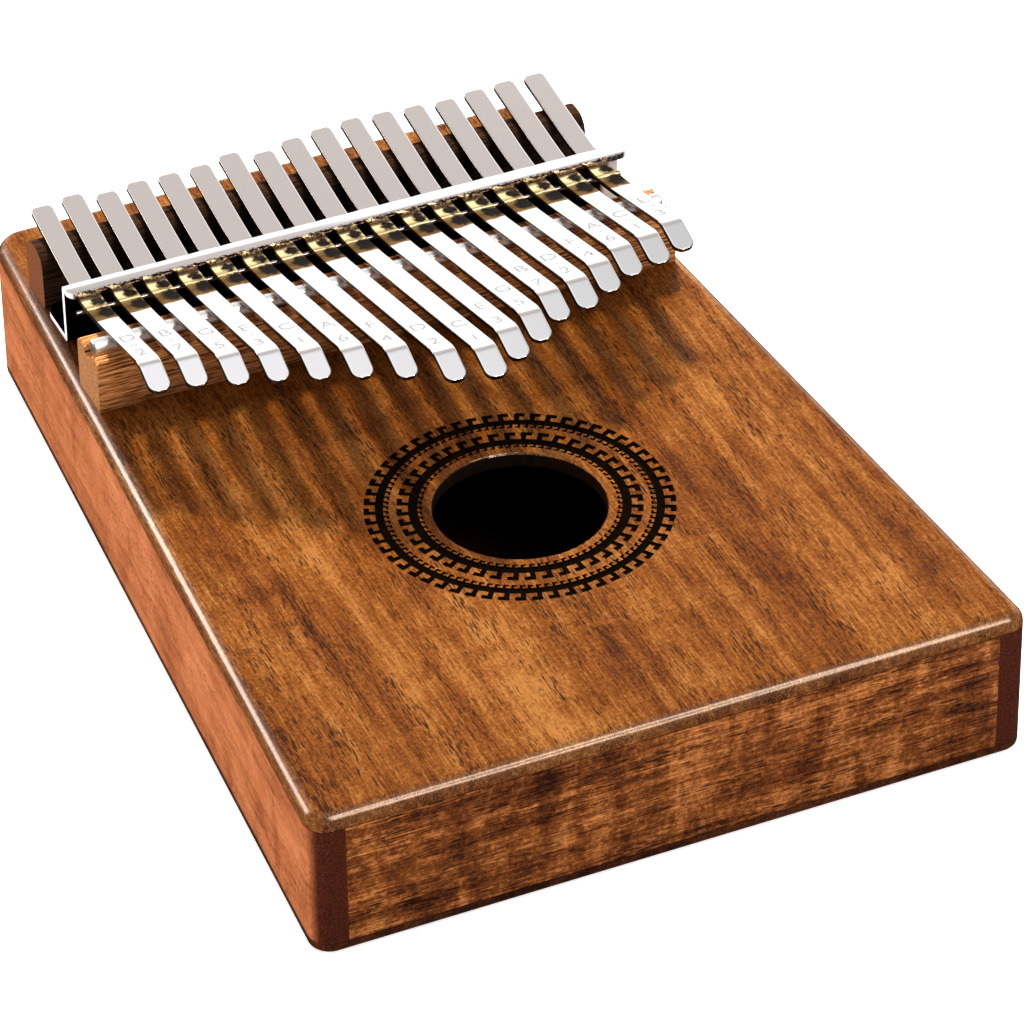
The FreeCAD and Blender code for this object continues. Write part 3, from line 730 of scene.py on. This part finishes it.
def top_board_piece(wood, burnt, hole_wall):
    """The top board with its ornament sunk into the top face."""
    bm = cad_bmesh("top_board")
    flat = [f for f in bm.faces if f.normal.z > 0.999 and min(v.co.z for v in f.verts) > TOP_Z - 1e-6]
    bmesh.ops.delete(bm, geom=flat, context="FACES_ONLY")
    loops = boundary_loops(bm)
    outlines = [[(v.co.x, v.co.y) for v in loop] for loop in loops]
    edge = max(outlines, key=lambda outline: max(x for x, _ in outline))
    holes = [outline for outline in outlines if outline is not edge]
    rings = [
        [(r * math.cos(a), HOLE_Y + r * math.sin(a)) for r, a in outline]
        for ring in RINGS for outline in hook_ring(ring)
    ]
    points, edges = [], []
    for outline in outlines + rings:
        first = len(points)
        points += [Vector(p) for p in outline]
        edges += [(first + i, first + (i + 1) % len(outline)) for i in range(len(outline))]
    found, _, triangles, origin, _, _ = delaunay_2d_cdt(points, edges, [], 1, 1e-9)
    old = [v for loop in loops for v in loop]
    raised, sunk = {}, {}

    def vertex_at(index, low):
        """The shared vertex of a triangle's corner, on the surface or at the burn's floor."""
        store = sunk if low else raised
        if index not in store:
            source = origin[index][0] if origin[index] else None
            if not low and source is not None and source < len(old):
                store[index] = old[source]
            else:
                x, y = found[index]
                store[index] = bm.verts.new((x, y, TOP_Z - (BURN_DEPTH if low else 0)))
        return store[index]

    sides = {}
    for triangle in triangles:
        a, b, c = [found[i] for i in triangle]
        centre = ((a.x + b.x + c.x) / 3, (a.y + b.y + c.y) / 3)
        if not inside(centre, edge) or any(inside(centre, hole) for hole in holes):
            continue
        low = is_burnt(*polar(*centre))
        corners = triangle if (b - a).cross(c - a) > 0 else triangle[::-1]
        face = bm.faces.new([vertex_at(i, low) for i in corners])
        face.material_index = 1 if low else 0
        for pair in zip(corners, list(corners[1:]) + [corners[0]]):
            sides[pair] = low
    for (a, b), low in sides.items():
        if low and sides.get((b, a)) is False:
            wall = bm.faces.new([sunk[b], sunk[a], raised[a], raised[b]])
            wall.material_index = 1
    bm.normal_update()
    for face in bm.faces:
        radius, _ = polar(*face.calc_center_median()[:2])
        if abs(face.normal.z) < 0.3 and radius < HOLE_REACH:
            face.material_index = 2
    new_piece("top_board_burnt", bm, [wood, burnt, hole_wall], stands_for=["top_board"])


# ---------------------------------------------------------------- tines

def bent_span(support_y, support_z, support_radius):
    """Span, height and slope of a tine's underside over a round support."""
    span = abs(support_y - BAR_Y)
    slope = 0.0
    for _ in range(8):
        height = support_z + (support_radius + TOUCH_GAP) * math.hypot(1, slope)
        slope = 1.5 * (height - BAR_UNDERSIDE) / span
    return span, height, slope


ROD_SPAN = bent_span(ROD_Y, ROD_Z, ROD_RADIUS)
SADDLE_SPAN = bent_span(SADDLE_Y, SADDLE_Z, SADDLE_RADIUS)


def underside(y):
    """Height of a tine's underside and its rise for each unit away from the flange."""
    reach = abs(y - BAR_Y)
    span, height, slope = ROD_SPAN if y < BAR_Y else SADDLE_SPAN
    if reach >= span:
        return height + slope * (reach - span), slope
    share = reach / span
    return BAR_UNDERSIDE + slope * span * (share ** 2 - share ** 3 / 3), slope * (2 * share - share ** 2)


def mid_line_point(y):
    """Point of a tine's middle line and its unit direction towards the tip, in (y, z)."""
    height, slope = underside(y)
    lean = math.copysign(slope, y - BAR_Y)
    length = math.hypot(1, lean)
    half = STRIP_THICKNESS / 2
    return Vector((y - half * lean / length, height + half / length)), Vector((-1 / length, -lean / length))


def steps_between(start, end, step):
    """Evenly spaced values from start to end, no further apart than a step."""
    count = max(1, math.ceil(abs(end - start) / step))
    return [start + (end - start) * i / count for i in range(count + 1)]


def strip_line(number):
    """Middle line of a tine from its back end to its tip: a list of (point, direction)."""
    back_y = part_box(f"tine_{number:02d}_held_end")[1].y - STRIP_BACK_GAP
    bend_y = ROD_Y - PLAYING_LENGTHS[number - 1] * MM
    rise = math.atan(ROD_SPAN[2])
    turn = rise + TIP_DROP
    run = TIP_BEND * math.tan(turn / 2)
    line = [mid_line_point(y) for y in steps_between(back_y, SADDLE_Y, 0.5 * MM)[:-1]]
    line += [mid_line_point(y) for y in steps_between(SADDLE_Y, ROD_Y, 0.8 * MM)[:-1]]
    bend, forward = mid_line_point(bend_y)
    start = bend - forward * run
    first = mid_line_point(ROD_Y)[0]
    for share in steps_between(0, 1, 1.5 * MM / (start - first).length):
        line.append((first.lerp(start, share), forward))
    centre = start + Vector((-math.sin(rise), -math.cos(rise))) * TIP_BEND
    for angle in steps_between(0, turn, math.radians(4))[1:]:
        lean = angle - rise
        outward = Vector((-math.sin(lean), math.cos(lean)))
        line.append((centre + outward * TIP_BEND, Vector((-math.cos(lean), -math.sin(lean)))))
    end, forward = line[-1]
    for reach in steps_between(0, TIP_LENGTH - run, 0.4 * MM)[1:]:
        line.append((end + forward * reach, forward))
    return line


def refined_ends(line):
    """Adds close sections near both ends, where the plan and the edge are rounded."""
    for radius, at_end in ((STRIP_BACK, False), (STRIP_TIP, True)):
        chain = line[::-1] if at_end else line
        origin = chain[0][0]
        reaches = [radius * (1 - math.cos(math.pi / 2 * i / 9)) for i in range(10)]
        reaches = sorted(reaches + [0.03 * MM, 0.12 * MM])
        kept = [p for p in chain if (p[0] - origin).length > radius + 0.1 * MM]
        towards = (kept[0][0] - origin).normalized()
        chain = [(origin + towards * reach, chain[0][1]) for reach in reaches] + kept
        line = chain[::-1] if at_end else chain
    return line


def rounded_share(distance, radius):
    """How far a rounded end has opened at a distance from its tip, from 0 to radius."""
    if distance >= radius:
        return radius
    return math.sqrt(max(0.0, radius ** 2 - (radius - distance) ** 2))


def strip_section(half_width, half_thickness):
    """Rounded rectangle with support points beside its corners, as (across, up) pairs."""
    edge = min(STRIP_EDGE, 0.8 * half_width, half_thickness * 0.95)
    support = min(0.12 * MM, 0.3 * (half_width - edge))
    points = []
    for quarter, (sx, sz) in enumerate(((1, 1), (-1, 1), (-1, -1), (1, -1))):
        cx, cz = sx * (half_width - edge), sz * (half_thickness - edge)
        arc = []
        for i in range(5):
            angle = math.pi / 2 * (quarter + i / 4)
            arc.append((cx + edge * math.cos(angle), cz + edge * math.sin(angle)))
        beside = (sx * (half_width - edge - support), sz * half_thickness)
        points += arc + [beside] if quarter % 2 == 0 else [beside] + arc
    return points


def middle_of(number):
    """A tine's place across the box."""
    return (number - MIDDLE_TINE) * PITCH


def splay_tine(bm, number):
    """Turns a tine's mesh out of line about its place under the flange."""
    middle_x = middle_of(number)
    turn = Matrix.Rotation(math.radians(middle_x / MM * STRIP_FAN), 3, "Z")
    bmesh.ops.rotate(bm, verts=bm.verts, cent=Vector((middle_x, BAR_Y, 0)), matrix=turn)


def tine_piece(number, steel):
    """One whole tine, from its held back end to its bent tip, standing for both of its CAD nodes."""
    line = refined_ends(strip_line(number))
    lengths = [0.0]
    for (a, _), (b, _) in zip(line, line[1:]):
        lengths.append(lengths[-1] + (b - a).length)
    total = lengths[-1]
    middle_x = middle_of(number)
    bm = bmesh.new()
    rings = []
    for (point, forward), length in zip(line, lengths):
        nearer_back = length < total / 2
        from_end = length if nearer_back else total - length
        corner = STRIP_BACK if nearer_back else STRIP_TIP
        half_width = STRIP_WIDTH / 2 - corner + rounded_share(from_end, corner)
        half_thickness = STRIP_THICKNESS / 2 - STRIP_EDGE + rounded_share(from_end, STRIP_EDGE)
        up = Vector((forward.y, -forward.x))
        ring = []
        for across, rise in strip_section(max(half_width, 0.2 * MM), half_thickness):
            place = point + up * rise
            ring.append(bm.verts.new((middle_x + across, place.x, place.y)))
        rings.append(ring)
    for near, far in zip(rings, rings[1:]):
        for i in range(len(near)):
            j = (i + 1) % len(near)
            bm.faces.new([near[i], near[j], far[j], far[i]])
    bm.faces.new(rings[0][::-1])
    bm.faces.new(rings[-1])
    bmesh.ops.recalc_face_normals(bm, faces=bm.faces)
    splay_tine(bm, number)
    name = f"tine_{number:02d}"
    piece = new_piece(name, bm, [steel], body=None,
                      stands_for=[name + "_held_end", name + "_playing_end"],
                      smooth_below=math.radians(60))
    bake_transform(piece)


# ---------------------------------------------------------------- engraved notes

LETTER_HEIGHT = 3.2 * MM
NUMBER_HEIGHT = 3.0 * MM
MARK_LIFT = 0.012 * MM
MARK_THICKNESS = 0.01 * MM
LETTER_BEFORE_BEND = 12.0 * MM
NUMBER_BEFORE_BEND = 4.2 * MM
STROKE_CHANGE = -0.035 * MM     # makes the plain font's strokes thinner
DOT_PITCH = 0.8 * MM
DOT_RADIUS = 0.2 * MM
CAPITAL_SHARE = 0.72            # height of a capital letter for a font size of 1


def add_glyph(bm, text, height, up_to):
    """Adds a thin letter or digit to a bmesh, its middle at a height of the y axis."""
    curve = bpy.data.curves.new("glyph", "FONT")
    curve.body = text
    curve.size = height / CAPITAL_SHARE
    curve.offset = STROKE_CHANGE
    curve.align_x = "CENTER"
    curve.resolution_u = 4
    curve.extrude = MARK_THICKNESS / 2
    helper = bpy.data.objects.new("glyph", curve)
    bpy.context.scene.collection.objects.link(helper)
    bpy.context.view_layer.update()
    mesh = bpy.data.meshes.new_from_object(helper.evaluated_get(bpy.context.evaluated_depsgraph_get()))
    mesh.transform(Matrix.Translation((0, up_to - height / 2, 0)))
    bm.from_mesh(mesh)
    bpy.data.objects.remove(helper)
    bpy.data.curves.remove(curve)
    bpy.data.meshes.remove(mesh)


def add_dot(bm, x, y):
    bmesh.ops.create_cone(bm, cap_ends=True, segments=16, radius1=DOT_RADIUS, radius2=DOT_RADIUS,
                          depth=MARK_THICKNESS, matrix=Matrix.Translation((x, y, 0)))


def note_piece(number, etched):
    """Letter, octave dots and number etched near a tine's bend."""
    letter, digit, dots = NOTES[number - 1]
    bm = bmesh.new()
    add_glyph(bm, letter, LETTER_HEIGHT, LETTER_BEFORE_BEND)
    add_glyph(bm, digit, NUMBER_HEIGHT, NUMBER_BEFORE_BEND)
    for index in range(dots):
        across = (index - (dots - 1) / 2) * DOT_PITCH
        add_dot(bm, across, (LETTER_BEFORE_BEND + NUMBER_BEFORE_BEND) / 2)
    bend_y = ROD_Y - PLAYING_LENGTHS[number - 1] * MM
    height, slope = underside(bend_y)
    rise = math.atan(slope)
    up = Vector((0, math.sin(rise), math.cos(rise)))
    place = Vector((middle_of(number), bend_y, height)) + up * (STRIP_THICKNESS + MARK_LIFT)
    bm.transform(Matrix.Translation(place) @ Matrix.Rotation(-rise, 4, "X"))
    splay_tine(bm, number)
    name = f"tine_{number:02d}"
    new_piece(name + "_note", bm, [etched], body=name)


# ---------------------------------------------------------------- putting it together

BRIDGE_TONES = ((0.035, 0.008, 0.001), (0.26, 0.092, 0.022), (0.66, 0.29, 0.10), (0.95, 0.52, 0.24))
BRIDGE_END_TONES = ((0.16, 0.065, 0.022), (0.32, 0.15, 0.058), (0.44, 0.24, 0.11))
SADDLE_TONES = (
    (0.008, 0.003, 0.001), (0.026, 0.010, 0.004), (0.058, 0.026, 0.011), (0.095, 0.048, 0.024),
)
SADDLE_END_TONES = ((0.08, 0.025, 0.009), (0.18, 0.065, 0.026), (0.27, 0.11, 0.05))


def paint(material, *nodes):
    """Gives CAD nodes that keep their shape their only material."""
    for node in nodes:
        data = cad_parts[node].data
        data.materials.clear()
        data.materials.append(material)


def build_box():
    """The boards, with glue lines under the top and over the back."""
    both_seams = [UNDER_TOP_Z, BACK_TOP_Z]
    # The top wood carries the painted shade of the channel under the tines
    top_wood = wood_material("top_wood_lacquered", "Y", TOP_WOOD, seams=[UNDER_TOP_Z], channel=True)
    side_wood = wood_material("side_wood_lacquered", "Y", SIDE_WOOD, "Y", seams=both_seams)
    panel_wood = wood_material("end_panel_wood_lacquered", "X", PANEL_WOOD, seams=both_seams)
    back_wood = wood_material("back_wood_lacquered", "Y", BACK_WOOD, seams=[BACK_TOP_Z])
    inside_wood = dark_inside_material()
    top_board_piece(top_wood, burnt_material(), inside_wood)
    paint(side_wood, "left_side", "right_side")
    paint(panel_wood, "foot_end_panel", "head_end_panel")
    paint(back_wood, "back_board")
    # Painted shade: the anchor block inside the box is near black
    paint(inside_wood, "anchor_block")


def build_supports():
    """Bridge, rod, saddle, bracket, screws and wire."""
    bridge_wood = raw_wood_material("bridge_wood", "X", BRIDGE_TONES, BRIDGE_END_TONES)
    rod_metal = plated_material("rod_chrome", (0.9, 0.89, 0.89), 0.34, 0.42, (0.3, 4, 4))
    eased_copy("front_bridge", 0.25 * MM, bridge_wood)
    eased_copy("tine_bracket", 0.18 * MM, bracket_material())
    eased_copy("bridge_rod", 0.12 * MM, rod_metal)
    paint(raw_wood_material("saddle_wood", "X", SADDLE_TONES, SADDLE_END_TONES), "rear_saddle")
    paint(plated_material("screw_chrome", (0.93, 0.93, 0.94), 0.05, 0.09, (0.5, 3, 3)), "bracket_screws")
    paint(plated_material("wire_steel", (0.20, 0.20, 0.23), 0.15, 0.3, (0.5, 3, 3)), "damping_wire")


def build_tines():
    """The 17 tines and their engraved notes."""
    steel = steel_material()
    etched = etched_material()
    for number in TINES:
        tine_piece(number, steel)
        note_piece(number, etched)


def light():
    """Studio: fills light the wood, and glints show only in the lacquer and the metal."""
    add_world()
    add_softbox("key", (0.4, 1.0, 1.0), 1.4, 0.16, 1.9, glossy=False)
    add_softbox("left_fill", (-1.0, 0.25, 0.12), 1.2, 0.5, 0.85, (1, 0.95, 0.92), glossy=False)
    add_softbox("front_fill", (0.3, -0.6, 0.73), 1.3, 0.3, 0.3, glossy=False)
    add_softbox("left_glint", (-0.62, 0.73, 0.3), 1.2, 0.42, 0.5, (1, 0.93, 0.85), diffuse=False)
    add_softbox("front_glint", (0.3, -0.6, 0.73), 1.3, 0.6, 1.5, (1, 0.83, 0.66), diffuse=False)


def set_view():
    """Plain contrast, a little darker in the middle tones than linear."""
    view = bpy.context.scene.view_settings
    view.view_transform = "Standard"
    view.gamma = 0.85


add_camera()
light()
add_stage()
build_box()
build_supports()
build_tines()
set_view()
